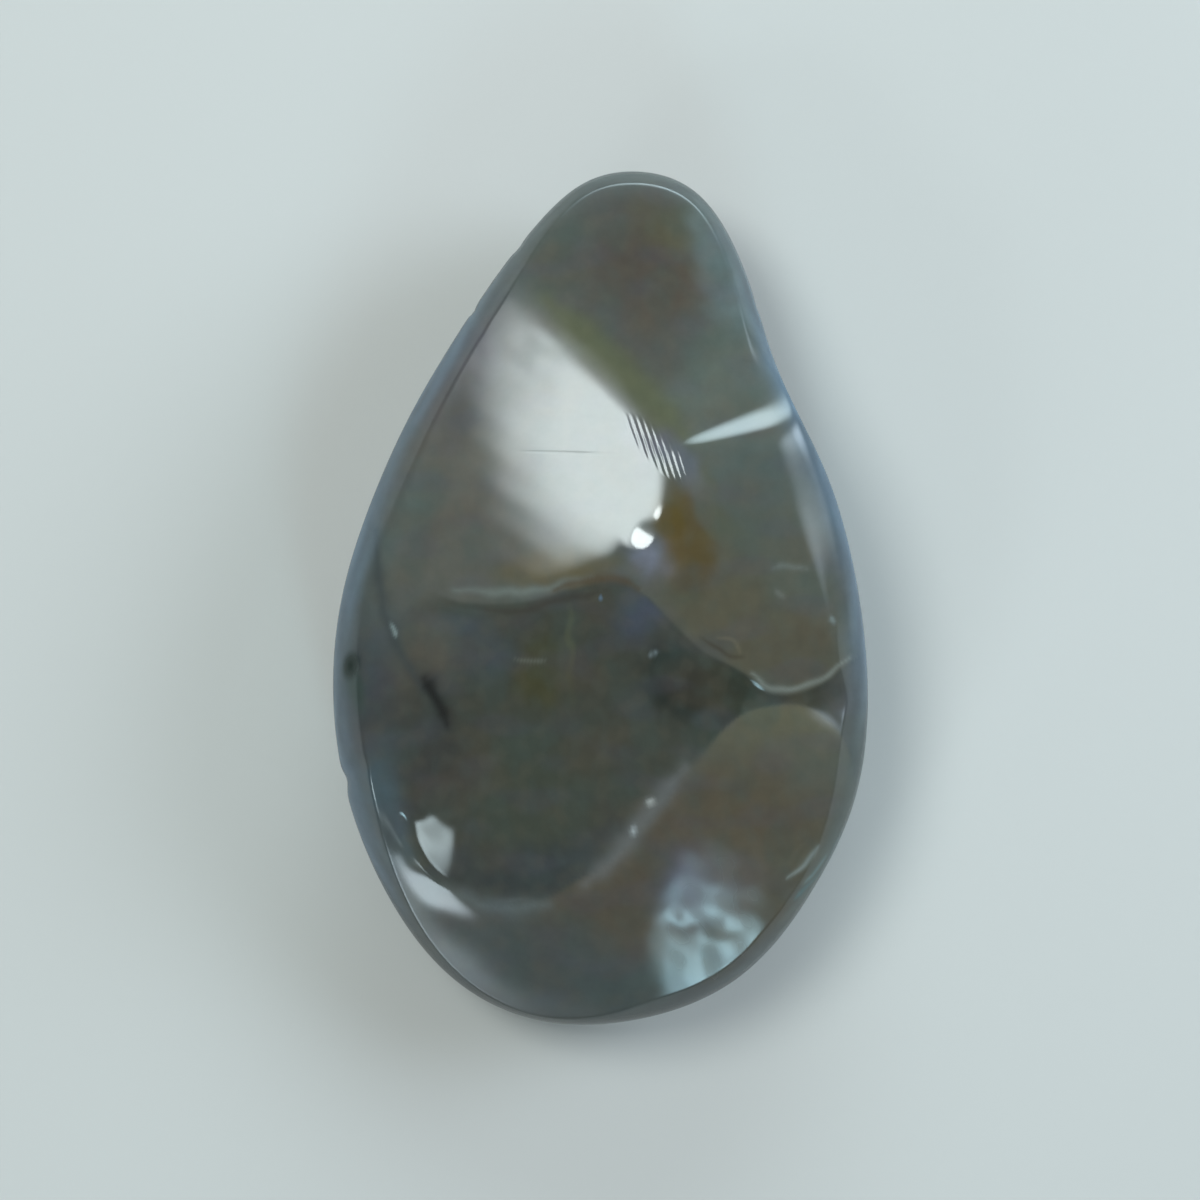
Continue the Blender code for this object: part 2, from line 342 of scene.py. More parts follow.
def gap_depth(x, y):
    """Depth of the valley between the right face and the lobe: a bell across
    its line, and round the line's start."""
    along, aside, width, depth = along_line(GAP, x, y)
    past = np.minimum(along, 0.0) * np.hypot(GAP[1][0] - GAP[0][0], GAP[1][1] - GAP[0][1])
    return depth * np.exp(-(aside ** 2 + past ** 2) / width ** 2)


def waist_depth(x, y):
    """Depth of the step down from the right face to the nose: a soft step across
    its line and past its start, which dies out exponentially beyond it."""
    along, aside, width, depth = along_line(WAIST, x, y)
    step = rise(aside, 0.0, width) * rise(along, 0.0, WAIST_START)
    return depth * step * np.exp(-np.maximum(aside, 0.0) / WAIST_FADE)


def shoulder_rounding(x, y):
    """Softness of the turn into the rim: crisp, with a bell over the angle on
    each of the sides where it is softer."""
    rounding = np.full_like(x, SHOULDER_CRISP)
    for soft, middle, spread in SHOULDER_SOFT:
        away = degrees_from(middle, np.arctan2(y, x))
        rounding += (soft - SHOULDER_CRISP) * bell(away, spread)
    return rounding


def girdle_level(x, y, reach):
    """Level that the rim rises from: the girdle's height on the outline,
    levelling out to one height in the middle as the square of the reach."""
    _, height = girdle_curves()
    return GIRDLE_MIDDLE + (height(np.arctan2(y, x)) - GIRDLE_MIDDLE) * reach ** 2


def main_forms(x, y):
    """Height of the ground faces with their crown, hollow, gap, step and lobe."""
    height = ground_faces(TOP_FACES, x, y)
    height -= 0.5 * TOP_CROWN * (x ** 2 + y ** 2)
    height -= hollow_depth(x, y) + gap_depth(x, y) + waist_depth(x, y)
    middle, lobe_reach, lobe_height = LOBE
    return height + lobe_height * bell(np.hypot(x - middle[0], y - middle[1]), lobe_reach)


def height_at(middle):
    """Height of the main forms at one point."""
    return main_forms(np.array([middle[0]]), np.array([middle[1]]))[0]


def chipped(height, x, y):
    """Height with the chip cut in: inside its four soft sides it becomes that
    of a flat with a slight crown, at the height that the middle had."""
    dx = x - CHIP_MIDDLE[0]
    dy = y - CHIP_MIDDLE[1]
    face = flat(x, y, CHIP_MIDDLE, height_at(CHIP_MIDDLE), CHIP_FALL)
    face -= 0.5 * CHIP_CROWN * (dx ** 2 + dy ** 2)
    inside = rise(dx, CHIP_LEFT[0] + CHIP_LEFT[1] * dy, CHIP_EDGE)
    inside *= fade(dx, CHIP_RIGHT[0] + CHIP_RIGHT[1] * dy, CHIP_EDGE)
    inside *= rise(dy, CHIP_FOOT[0] + CHIP_FOOT[1] * dx, CHIP_EDGE)
    inside *= fade(dy, CHIP_HEAD[0] + CHIP_HEAD[1] * dx, CHIP_EDGE)
    return height + inside * (face - height)


def flecked(height, x, y):
    """Height with the fleck ground in: inside its circle it becomes that of a
    flat, at the height that the middle had."""
    middle, radius, fall = FLECK
    face = flat(x, y, middle, height_at(middle), fall)
    inside = fade(np.hypot(x - middle[0], y - middle[1]), radius, FLECK_EDGE)
    return height + inside * (face - height)


def lip_height(x, y):
    """Height of the raised lip: a bell across the hollow's far edge, wider on
    the outside, that rises from one end and drops again past the lower left."""
    inside, along = path_distance(ARC, x, y)
    height, inner, outer = LIP
    drop, drop_from, drop_over = LIP_DROP
    strength = np.clip(along / LIP_RISE, 0.0, 1.0)
    strength *= 1.0 - drop * np.clip((along - drop_from) / drop_over, 0.0, 1.0)
    return height * strength * bell(inside, np.where(inside > 0.0, inner, outer))


def groove_depth(x, y):
    """Depth of the grooves: a bell across each path, which runs out at its ends."""
    total = np.zeros_like(x)
    for path, depth, half_width, offset in GROOVES:
        aside, along = path_distance(path, x, y)
        taper = np.clip(np.minimum(along, 1.0 - along) / GROOVE_ENDS, 0.0, 1.0)
        total += depth * taper * bell(aside - offset, half_width)
    return total


def unevenness(x, y):
    """Height of the marks of polishing by hand: slow waves all over, shorter ones
    on a patch of the heel, and bent sine ripples at the lower right rim."""
    height = np.zeros_like(x)
    for seed, size, wave_height in WAVES:
        height += wave_height * wander(x, y, size, seed)
    middle, half_size, softness, size, cloud_height = CLOUDS
    cloud = oval(x, y, middle, half_size, 0.0, softness)
    height += cloud_height * cloud * wander(x, y, size, seed=30)
    middle, half_size, turn, softness, pitch, ripple_height = RIPPLES
    bend_size, bend = RIPPLE_BEND
    across = y * np.cos(np.radians(turn)) - x * np.sin(np.radians(turn))
    across += bend * wander(x, y, bend_size, seed=31)
    ripple = np.sin(2.0 * np.pi * across / pitch)
    return height + ripple_height * oval(x, y, middle, half_size, turn, softness) * ripple


def fine_relief(x, y):
    """Small heights added to the ground forms: the lip and the unevenness, less
    the grooves and the pit."""
    middle, radius, depth = PIT
    pit = depth * bell(np.hypot(x - middle[0], y - middle[1]), radius)
    return lip_height(x, y) + unevenness(x, y) - groove_depth(x, y) - pit


def nick_depth(theta):
    """Depth of the nicks at an angle round the outline: a bell each."""
    depth = np.zeros_like(theta)
    for angle, half_width, nick in NICKS:
        depth += nick * bell(degrees_from(angle, theta), half_width)
    return depth


def top_height(x, y, reach):
    """Height of the upper side: the lesser of the ground forms and of the rim,
    which rises from the girdle as a quarter round, a slope and a bend.  Reach is
    0 in the middle and 1 on the outline."""
    height = flecked(chipped(main_forms(x, y), x, y), x, y) + fine_relief(x, y)
    radius, _ = girdle_curves()
    inset = (1.0 - reach) * radius(np.arctan2(y, x))
    width, height_of_round = RIM_ROUND
    rim = height_of_round * np.sqrt(1.0 - (1.0 - np.minimum(inset / width, 1.0)) ** 2)
    rim += RIM_SLOPE * inset + RIM_BEND * inset ** 2
    girdle = girdle_level(x, y, reach)
    above = np.minimum(rim, soft_least(np.array([height - girdle, rim]), shoulder_rounding(x, y)))
    return girdle + above


def under_height(x, y, reach):
    """Height of the lower side: the greater of the ground faces and of a rounded
    belly, a superellipse under the girdle, both cut off flat at the table."""
    depth = ground_faces(UNDER_FACES, x, y)
    drop = BELLY_FULLNESS * np.sqrt(np.clip(1.0 - reach ** BELLY_SQUARENESS, 0.0, 1.0))
    belly = girdle_level(x, y, reach) * (1.0 - drop)
    height = -soft_least(np.array([depth, -belly]), UNDER_ROUNDING)
    return np.maximum(height, 0.0)


def stone_grid():
    """Points of the stone as rings by segments: the angle runs round, and the
    reach from the middle goes as the sine of the ring, out over the top and
    back in under the girdle."""
    theta = np.linspace(0.0, 2.0 * np.pi, SEGMENTS, endpoint=False)
    top = np.linspace(0.0, 0.5 * np.pi, TOP_RINGS + 1)[1:]
    under = np.linspace(0.5 * np.pi, np.pi, UNDER_RINGS + 1)[1:-1]
    phi = np.concatenate((top, under))[:, None]
    reach = np.broadcast_to(np.sin(phi), (len(phi), SEGMENTS))
    outline, _ = girdle_curves()
    radius = (outline(theta)[None, :] - nick_depth(theta) * reach ** NICK_HOLD) * reach
    x = radius * np.cos(theta)
    y = radius * np.sin(theta)
    is_top = phi <= 0.5 * np.pi
    height = np.where(is_top, top_height(x, y, reach), under_height(x, y, reach))
    return x, y, height, reach


def closed_mesh(name, rings, first_pole, last_pole):
    """Mesh of quads between the rings, closed round the seam, with a fan of
    triangles at each pole; rings is an array of rings, segments and xyz."""
    ring_count, segment_count = rings.shape[:2]
    vertices = np.concatenate((rings.reshape(-1, 3), [first_pole, last_pole]))
    ring = np.arange(ring_count - 1)[:, None] * segment_count
    here = np.arange(segment_count)
    ahead = (here + 1) % segment_count
    quads = np.stack((ring + here, ring + segment_count + here,
                      ring + segment_count + ahead, ring + ahead), axis=-1).reshape(-1, 4)
    top_pole = ring_count * segment_count
    last = (ring_count - 1) * segment_count
    top_fan = np.column_stack((np.full(segment_count, top_pole), here, ahead))
    under_fan = np.column_stack((np.full(segment_count, top_pole + 1), last + ahead, last + here))
    mesh = bpy.data.meshes.new(name)
    mesh.from_pydata(vertices.tolist(), [], quads.tolist() + top_fan.tolist() + under_fan.tolist())
    mesh.shade_smooth()
    return mesh


def linear(hex_colour):
    """sRGB hex as linear red, green and blue."""
    value = np.array([int(hex_colour[i:i + 2], 16) for i in (1, 3, 5)]) / 255.0
    return np.where(value <= 0.04045, value / 12.92, ((value + 0.055) / 1.055) ** 2.4)


# ---- colour in the stone, with painted highlights and sheen ----
GROUND = "#555852"           # the stone where nothing is painted
# Soft stains, and last some painted highlights, painted in this order: middle,
# half size, turn in degrees, softness of the edge, colour and strength.
STAINS_AND_HIGHLIGHTS = {
    "nose grey": ((3.5, 17.5), (7.5, 8.5), 0, 0.20, "#4b4a44", 0.9),
    "nose warm": ((3.2, 19.8), (3.4, 3.2), 0, 0.40, "#473c33", 0.7),
    "nose tip": ((1.6, 24.6), (4.0, 1.8), 0, 0.30, "#494844", 0.7),
    "nose gold": ((4.6, 22.6), (2.6, 1.6), -40, 0.35, "#4e4a38", 0.8),
    "nose left green": ((-2.6, 20.6), (2.4, 1.6), 50, 0.35, "#474c45", 0.7),
    "nose shoulder": ((8.6, 14.6), (3.2, 2.4), 60, 0.35, "#575f56", 0.8),
    "nose foot": ((6.5, 11.6), (3.6, 2.0), 15, 0.35, "#595f57", 0.8),
    "left face": ((-8.5, 7.5), (7.0, 9.5), -25, 0.20, "#53534e", 0.9),
    "left violet": ((-8.0, 13.4), (1.8, 4.6), -28, 0.45, "#554f54", 0.8),
    "left warm": ((-9.0, 7.2), (2.8, 3.6), -20, 0.45, "#5a554c", 0.8),
    "left green": ((-12.0, 3.6), (1.8, 4.0), -18, 0.45, "#54605b", 0.7),
    "left brown": ((-8.5, 2.0), (4.4, 1.6), 5, 0.40, "#59574f", 0.8),
    "ledge amber": ((-2.6, 1.6), (3.6, 1.2), 4, 0.35, "#5a5038", 0.9),
    "left dark": ((-13.3, -7.5), (2.6, 6.2), 8, 0.30, "#3a4146", 0.9),
    "left smoke": ((-11.2, -8.6), (2.6, 4.2), 10, 0.40, "#403f3b", 0.8),
    "left teal": ((-13.0, -13.0), (1.8, 3.4), 15, 0.40, "#4a5a60", 0.7),
    "right face": ((10.5, 1.5), (6.0, 8.0), 10, 0.15, "#52544a", 0.9),
    "right green": ((9.6, 7.4), (3.0, 2.0), 0, 0.50, "#4f5855", 0.7),
    "right brown": ((8.6, -1.6), (5.4, 2.8), -30, 0.30, "#544e3e", 0.9),
    "right low": ((11.6, -3.6), (3.4, 1.6), -10, 0.30, "#504b3e", 0.8),
    "amber": ((5.0, 3.6), (1.6, 3.2), 8, 0.22, "#524526", 1.0),
    "amber deep": ((4.4, 2.4), (0.9, 1.8), 5, 0.35, "#57461f", 0.6),
    "amber side": ((6.8, 5.4), (0.9, 2.6), 15, 0.35, "#545340", 0.7),
    "heel brown": ((4.0, -15.5), (8.5, 6.0), 20, 0.20, "#51483b", 0.9),
    "heel grey": ((-4.5, -22.5), (7.0, 3.2), -12, 0.30, "#4b504f", 0.9),
    "heel end": ((2.5, -24.2), (6.5, 1.8), 0, 0.35, "#48504f", 0.8),
    # Painted highlights and sheen: the violet of the heel's upper highlight, that of the growth
    # lines' highlight, the pale sheen on the nose's right rim, a pale halo round the bright spot,
    # and the teal sheen of the ripples at the lower right rim.
    "heel highlight violet": ((6.8, -17.6), (3.0, 2.2), 0, 0.40, "#5c5a6c", 0.8),
    "growth highlight violet": ((3.6, 8.8), (2.8, 0.9), -43, 0.45, "#6b6a7a", 0.6),
    "nose right sheen": ((7.3, 19.8), (1.1, 4.2), 18, 0.50, "#5f6c6c", 0.8),
    "spot highlight halo": ((2.7, 2.0), (0.9, 1.1), 0, 0.6, "#7a7f92", 0.8),
    "heel ripple sheen teal": ((13.0, -16.6), (2.0, 2.2), 40, 0.35, "#56665f", 0.9),
}
# Those that end at the hollow's edges.
HOLLOW_STAINS = {
    "all": ((-3.0, -8.5), (14.0, 11.0), 25, 0.05, "#3f4038", 1.0),
    "upper blue": ((2.4, -1.0), (1.8, 1.5), 0, 0.35, "#454a55", 0.9),
    "left blue": ((-7.8, -2.6), (2.2, 1.9), 0, 0.40, "#40474a", 0.9),
    "left brown": ((-10.4, -3.2), (1.8, 2.6), 15, 0.35, "#514f48", 0.9),
    "olive": ((-3.6, -4.6), (1.6, 1.8), -15, 0.35, "#44412a", 0.9),
    "olive line": ((-1.6, -2.6), (0.22, 2.4), 0, 0.50, "#50503c", 0.8),
    "green low": ((-4.6, -11.6), (4.0, 4.0), 0, 0.35, "#3f4339", 0.8),
    "right dark": ((5.0, -5.2), (2.8, 1.8), -35, 0.30, "#212724", 0.9),
    "crack shade": ((-9.9, -6.1), (2.0, 0.8), -63, 0.50, "#2d2c29", 0.7),
    "left deep": ((-10.0, -9.5), (2.0, 3.6), 15, 0.40, "#393836", 0.8),
    "bottom": ((-4.5, -16.6), (5.0, 1.6), 5, 0.35, "#363b3c", 0.8),
}
# Veins, stained joints and crazing, and painted highlights: glints, sparkles, the
# pale tail of the lip's highlight and the reflections of the rim's ripples. Points
# along each, half width, softness, colour, strength.
VEINS_AND_GLINTS = {
    "ridge olive": ([(-3.4, 17.9), (-0.3, 14.9), (2.7, 11.9), (4.9, 9.7)],
                    1.0, 1.1, "#56583f", 0.75),
    "ledge pale": ([(-8.8, 0.5), (-4.8, 0.35), (-2.2, 0.8), (-0.6, 1.2)],
                   0.22, 0.4, "#6a6f69", 0.8),
    "ledge brown": ([(-2.8, 0.45), (-0.9, 1.0), (0.9, 1.15), (2.2, 0.6)],
                    0.2, 0.35, "#4e4030", 0.8),
    "ledge dark": ([(-6.8, -0.75), (-4.8, -0.8), (-1.8, 0.0), (0.3, 0.4)],
                   0.18, 0.3, "#3a3630", 0.7),
    "nodule rim": ([(-13.6, 4.0), (-13.3, 0.5), (-12.6, -2.0), (-11.8, -3.7), (-10.6, -5.4)],
                   0.26, 0.55, "#3a3f3f", 0.9),
    "crack": ([(-10.6, -4.8), (-9.9, -6.0), (-9.2, -7.6)], 0.32, 0.40, "#1c1e1d", 0.95),
    # A painted glint, a pale dash and a painted sparkle.
    "glint": ([(-12.65, -1.5), (-12.3, -2.3)], 0.1, 0.15, "#7f8a88", 0.9),
    "dash": ([(-5.1, -3.6), (-4.2, -3.8), (-3.3, -3.7)], 0.10, 0.15, "#5f6056", 0.8),
    "sparkle": ([(2.9, -3.5), (3.4, -3.2)], 0.10, 0.2, "#737c7e", 0.8),
    "pale ridge": ([(-1.0, -17.3), (0.6, -15.9), (2.3, -13.7), (3.6, -12.0), (5.0, -10.2)],
                   0.5, 0.8, "#6b6b6a", 0.7),
    # The painted pale tail of the highlight on the lip of the hollow's far edge.
    "arc highlight tail": ([(-9.4, -17.7), (-8.0, -18.3), (-6.6, -18.7), (-5.0, -18.8), (-3.2, -18.5)],
                 0.35, 0.9, "#6c7577", 0.55),
    "right lip": ([(9.0, -4.5), (9.9, -5.3), (11.4, -5.5), (13.2, -4.9), (15.0, -3.6)],
                  0.14, 0.25, "#7d8078", 0.8),
    "right mark": ([(10.3, 1.75), (11.2, 1.9), (12.3, 1.7)], 0.12, 0.3, "#6c706b", 0.6),
    "right mark low": ([(10.5, 0.5), (10.9, 0.0)], 0.14, 0.3, "#6e6e67", 0.6),
    "white dot": ([(13.8, -1.25), (13.9, -1.6)], 0.12, 0.2, "#7d8683", 0.7),
    "crazing": ([(6.1, -2.4), (7.0, -3.1), (7.6, -3.5), (8.6, -3.6)], 0.10, 0.25, "#3c3529", 0.7),
    "crazing up": ([(7.0, -2.4), (7.9, -2.5), (8.4, -3.3)], 0.08, 0.2, "#6b6250", 0.6),
    # Painted highlights: two sparkles on the pale ridge, then the painted reflections of the
    # ripples at the lower right rim, as pale and dark teal lines.
    "ridge spark": ([(1.9, -14.2), (2.1, -13.8)], 0.12, 0.25, "#a9adae", 0.9),
    "ridge spark high": ([(2.9, -12.4), (3.1, -12.1)], 0.12, 0.25, "#b0b0ab", 0.9),
    "ripple sheen one": ([(11.3, -16.9), (12.3, -16.2), (13.2, -15.0)], 0.10, 0.2, "#868d89", 0.8),
    "ripple sheen two": ([(12.4, -17.3), (13.1, -16.4), (13.7, -15.6)], 0.08, 0.2, "#7b9694", 0.8),
    "ripple sheen three": ([(11.8, -18.2), (12.5, -17.6), (13.2, -16.8)], 0.09, 0.2, "#4f7779", 0.8),
    "ripple sheen four": ([(13.4, -16.6), (14.1, -15.5), (14.6, -14.2)], 0.10, 0.2, "#3d6068", 0.8),
}
LINE_ENDS = 1.0 / 6.0        # share of a line over which each end runs thin
LINE_THINNEST = 0.35         # and the share of its width that is left there
# The waves that make the outlines of stains, veins and painted highlights
# irregular: size, amount, and a seed for the shift along X and for that along Y.
OVAL_WAVES = ((5.0, 0.35, 1, 3), (1.6, 0.12, 2, 4))
LINE_WAVES = ((1.6, 0.06, 2, 4),)

# How softly the colours of the hollow, the gap and the lobe end at the edges:
# at the right edge, inside the lobe's edge, and at the others.  Away from the
# edges they end at an X or a Y, given with the softness there.
HOLLOW_BLUR = 0.25
RIGHT_BLUR = 0.2
LOBE_BLUR = 0.15
HOLLOW_END = (-11.8, 1.5)
HOLLOW_MEETS_RIGHT = 2.0     # X from which the right face bounds the hollow
GAP_START = (6.2, 1.5)
GAP_TOP = (-3.4, 0.5)
LOBE_START = (6.0, 3.0)
# The colours of the gap, its mouth and the lobe's two ends: X or Y, softness,
# colour and strength.
GAP_COLOUR = ("#2f332a", 0.95)
GAP_MOUTH = (13.4, 1.6, "#464744", 1.0)
LOBE_UPPER = (-9.6, 4.0, "#585340", 0.9)
LOBE_LOWER = (-11.4, 4.0, "#554b3a", 0.8)

# Faint blotches all through the stone: seed, size, amount and colour.
BLOTCHES = (
    (40, 5.0, 0.24, "#55483a"),
    (41, 4.0, 0.24, "#3f4c47"),
    (42, 2.6, 0.18, "#4c4a55"),
    (43, 1.5, 0.14, "#5c5548"),
    (44, 1.1, 0.12, "#44504c"),
)
# The skin, a paler rind that the polish has left round the sides, with a painted
# sheen: paler and bluer for the light that the steep rim reflects.
SKIN_SHEEN = "#5c7082"
# Its colours round the heel and at the nose, where less sheen is painted; the one
# under the heel, darkest, is painted shade: angle, spread, colour.
SKIN_SHEEN_TURNS = ((-45.0, 28.0, "#46524f"), (-95.0, 32.0, "#383a39"), (88.0, 26.0, "#485150"))
SKIN_SHEEN_WIDTH = 0.72            # how far in from the outline it reaches
SKIN_SHEEN_WAVES = (14.0, 0.25)    # size and share of the changes in its width
SKIN_SHEEN_BLUR = 1.4              # softness of its inner edge
SKIN_SHEEN_STRENGTH = 0.9
# Banding in it: pitch up the sides and strength; size and amount of its bends;
# size, middle and range of the changes in its strength.
LAYERS = (1.5, 0.16)
LAYER_BENDS = (8.0, 0.5)
LAYER_CHANGES = (5.0, 0.7, 0.5)
# Dark stains in it, given as the others are.
SKIN_STAINS = {
    "pit shade": ((-14.8, -5.4), (0.5, 1.3), 12, 0.45, "#35473f", 0.6),
    "pit": ((-15.1, -4.1), (0.5, 0.8), -12, 0.30, "#0e211b", 1.0),
}
# The painted colours cover the smoky bands of the stone down to a wavy level:
# its height and softness, and the size and amount of its waves.
COVER_LEVEL = (4.0, 2.8)
COVER_WAVES = (9.0, 1.2)

# Hazy patches in the polish: middle, half size, turn, softness, strength.
DULL_PATCHES = (
    ((6.8, -19.6), (3.4, 5.2), -15, 0.4, 1.0),
    ((1.5, -14.8), (4.6, 1.2), 52, 0.5, 0.6),
    ((13.0, -16.2), (2.0, 2.2), 38, 0.5, 0.5),
    ((14.2, -7.6), (1.8, 1.5), 0, 0.5, 0.8),
    ((-9.6, -15.0), (2.6, 2.8), 0, 0.4, 0.45),
    ((-4.8, 15.8), (2.8, 3.4), -30, 0.5, 0.6),
    ((-0.2, 13.6), (4.2, 0.9), -43, 0.5, 0.6),
)
LEAST_REACH = 0.01           # keeps a division by the reach off 0
MOTTLE = (1.9, 0.25, 1.6)    # unevenness of the haze: size, amount, contrast
SKIN_HAZE = (1.5, 1.6, 0.7)  # haze on the skin: reach from the outline, softness, strength


def painted(pigment, mask, colour):
    """The pigment with a linear colour blended in where the mask says."""
    return pigment + mask[..., None] * (colour - pigment)


def stained(pigment, x, y, stains, within=1.0):
    """The pigment with soft ovals painted on it in turn, inside a mask."""
    for middle, half_size, turn, softness, colour, strength in stains.values():
        mask = within * strength * oval(x, y, middle, half_size, turn, softness)
        pigment = painted(pigment, mask, linear(colour))
    return pigment


def painted_lines(pigment, x, y):
    """The pigment with a soft line painted along each path, of a vein, a joint or a painted
    highlight, thin at its ends.
    """
    for points, half_width, softness, colour, strength in VEINS_AND_GLINTS.values():
        away, along = path_distance(points, x, y)
        taper = np.clip(np.minimum(along, 1.0 - along) / LINE_ENDS, LINE_THINNEST, 1.0)
        mask = strength * fade(np.abs(away), half_width * taper, softness)
        pigment = painted(pigment, mask, linear(colour))
    return pigment


def wavy(x, y, waves):
    """The point moved about by waves, so that what is painted there is irregular."""
    moved_x = x
    moved_y = y
    for size, amount, x_seed, y_seed in waves:
        moved_x = moved_x + amount * wander(x, y, size, x_seed)
        moved_y = moved_y + amount * wander(x, y, size, y_seed)
    return moved_x, moved_y


def inset_from_outline(x, y, reach):
    """Distance in from the outline, towards the middle: the distance from the
    middle times (1 - reach) / reach, with reach kept off 0; 0 at the poles."""
    return (1.0 - reach) * np.hypot(x, y) / np.maximum(reach, LEAST_REACH)


def hollow_coloured(pigment, x, y, oval_x, oval_y):
    """The pigment with the stains of the hollow, which lies below the ledge and
    above its own far edge, and on the right below the right face."""
    ledge, _ = path_distance(LEDGE, x, y)
    arc, _ = path_distance(ARC, x, y)
    right_edge, _ = path_distance(RIGHT_EDGE, x, y)
    hollow = fade(ledge, 0.0, HOLLOW_BLUR) * rise(arc, 0.0, HOLLOW_BLUR)
    hollow *= np.where(x > HOLLOW_MEETS_RIGHT, fade(right_edge, 0.0, RIGHT_BLUR), 1.0)
    hollow *= rise(x, *HOLLOW_END)
    return stained(pigment, oval_x, oval_y, HOLLOW_STAINS, hollow)


def gap_coloured(pigment, x, y):
    """The pigment with the dark of the gap, between the right face and the lobe,
    and its paler mouth at the rim."""
    right_edge, _ = path_distance(RIGHT_EDGE, x, y)
    lobe, _ = path_distance(LOBE_EDGE, x, y)
    gap = fade(right_edge, 0.0, RIGHT_BLUR) * rise(lobe, 0.0, HOLLOW_BLUR)
    gap *= rise(x, *GAP_START) * fade(y, *GAP_TOP)
    colour, strength = GAP_COLOUR
    pigment = painted(pigment, strength * gap, linear(colour))
    edge, softness, colour, strength = GAP_MOUTH
    return painted(pigment, strength * gap * rise(x, edge, softness), linear(colour))


def lobe_coloured(pigment, x, y):
    """The pigment with the lobe's olive upper end and its brown lower one."""
    edge_distance, _ = path_distance(LOBE_EDGE, x, y)
    lobe = fade(edge_distance, 0.0, LOBE_BLUR) * rise(x, *LOBE_START)
    edge, softness, colour, strength = LOBE_UPPER
    pigment = painted(pigment, strength * lobe * rise(y, edge, softness), linear(colour))
    edge, softness, colour, strength = LOBE_LOWER
    return painted(pigment, strength * lobe * fade(y, edge, softness), linear(colour))


def skin_and_sheen_colour(x, y, z):
    """Linear colour of the skin with its painted sheen, which turns to others in
    some directions, darkest under the heel as painted shade, under faint bands:
    a sine of the height, bent and of uneven strength."""
    theta = np.arctan2(y, x)
    skin = np.broadcast_to(linear(SKIN_SHEEN), x.shape + (3,))
    for angle, spread, colour in SKIN_SHEEN_TURNS:
        skin = painted(skin, np.exp(-(degrees_from(angle, theta) / spread) ** 4), linear(colour))
    pitch, strength = LAYERS
    bend_size, bend = LAYER_BENDS
    change_size, middle, change = LAYER_CHANGES
    layer = np.sin(2.0 * np.pi * (z + bend * wander(x, y, bend_size, seed=9)) / pitch)
    layer *= middle + change * wander(x, y, change_size, seed=10)
    return skin * (1.0 + strength * layer)[..., None]


def stone_pigment(x, y, z, reach):
    """Linear colour of the stone, and how far it covers the smoky bands beneath:
    stains and painted highlights, then the hollow, the gap and the lobe, blotches,
    veins with painted glints and reflections, and the skin with its painted sheen
    and shade, each painted over the ones before."""
    oval_x, oval_y = wavy(x, y, OVAL_WAVES)
    pigment = np.broadcast_to(linear(GROUND), x.shape + (3,))
    pigment = stained(pigment, oval_x, oval_y, STAINS_AND_HIGHLIGHTS)
    pigment = hollow_coloured(pigment, x, y, oval_x, oval_y)
    pigment = lobe_coloured(gap_coloured(pigment, x, y), x, y)
    for seed, size, amount, colour in BLOTCHES:
        mask = amount * np.clip(wander(x, y, size, seed), 0.0, 1.0)
        pigment = painted(pigment, mask, linear(colour))
    pigment = painted_lines(pigment, *wavy(x, y, LINE_WAVES))

    # The skin round the outline, with its painted sheen and, under the heel, painted shade.
    wave_size, wave = SKIN_SHEEN_WAVES
    width = SKIN_SHEEN_WIDTH * (1.0 + wave * wander(x, y, wave_size, seed=5))
    mask = SKIN_SHEEN_STRENGTH * fade(inset_from_outline(x, y, reach), width, SKIN_SHEEN_BLUR)
    pigment = painted(pigment, mask, skin_and_sheen_colour(x, y, z))
    pigment = stained(pigment, x, y, SKIN_STAINS)

    level, softness = COVER_LEVEL
    wave_size, wave = COVER_WAVES
    cover = rise(z, level + wave * wander(x, y, wave_size, seed=6), softness)
    return pigment, cover


def dullness(x, y, reach):
    """How far the polish is worn to a haze, 0 to 1: in mottled patches, and on
    the skin that is left round the outline."""
    worn = np.zeros_like(x)
    for middle, half_size, turn, softness, strength in DULL_PATCHES:
        worn = np.maximum(worn, strength * oval(x, y, middle, half_size, turn, softness))
    size, amount, contrast = MOTTLE
    worn *= 1.0 - amount + amount * np.tanh(contrast * wander(x, y, size, seed=7))
    width, softness, strength = SKIN_HAZE
    return np.maximum(worn, strength * fade(inset_from_outline(x, y, reach), width, softness))


# ---- material ----
QUARTZ_IOR = 1.54
POLISH_ROUGHNESS = 0.08
HAZE_ROUGHNESS = 0.34        # where the polish is worn
SMOKE_SIZE = 10.526          # size of the clouds that the smoky bands follow
SMOKE_BEND = 1.2             # and how far they bend
# Colours of the bands, from one side of a cloud to the other.
SMOKE_COLOURS = (
    (0.30, "#3c403e"), (0.42, "#53554f"), (0.50, "#5e5840"), (0.56, "#565a56"), (0.70, "#65747c"),
)
# Fine grain in the colour, drawn coarser than the real one so that it shows.
GRAIN_SIZE = 1.1111
GRAIN_ROUGHNESS = 0.6
GRAIN_RANGE = (0.3, 0.7)     # the part of the noise that counts
GRAIN_SHADE = (0.85, 0.98)   # and what the colour is multiplied by at its two ends
# Growth lines across the ridge: where, their slant, pitch, bend and height.
GROWTH_PATCH = ((3.5, 8.9), (3.1, 1.05), -43.0)
GROWTH_SLANT = -18.0
GROWTH_PITCH = 0.33421
GROWTH_BEND = 0.6
GROWTH_HEIGHT = 0.032
WAVE_RADIANS = 20.0          # the wave texture's turn per unit of its scale
# The long fine scratch on the left face: middle, half size and turn, and depth.
SCRATCH_PATCH = ((-1.0, 8.7), (4.2, 0.14), -2.0)
SCRATCH_DEPTH = 0.007


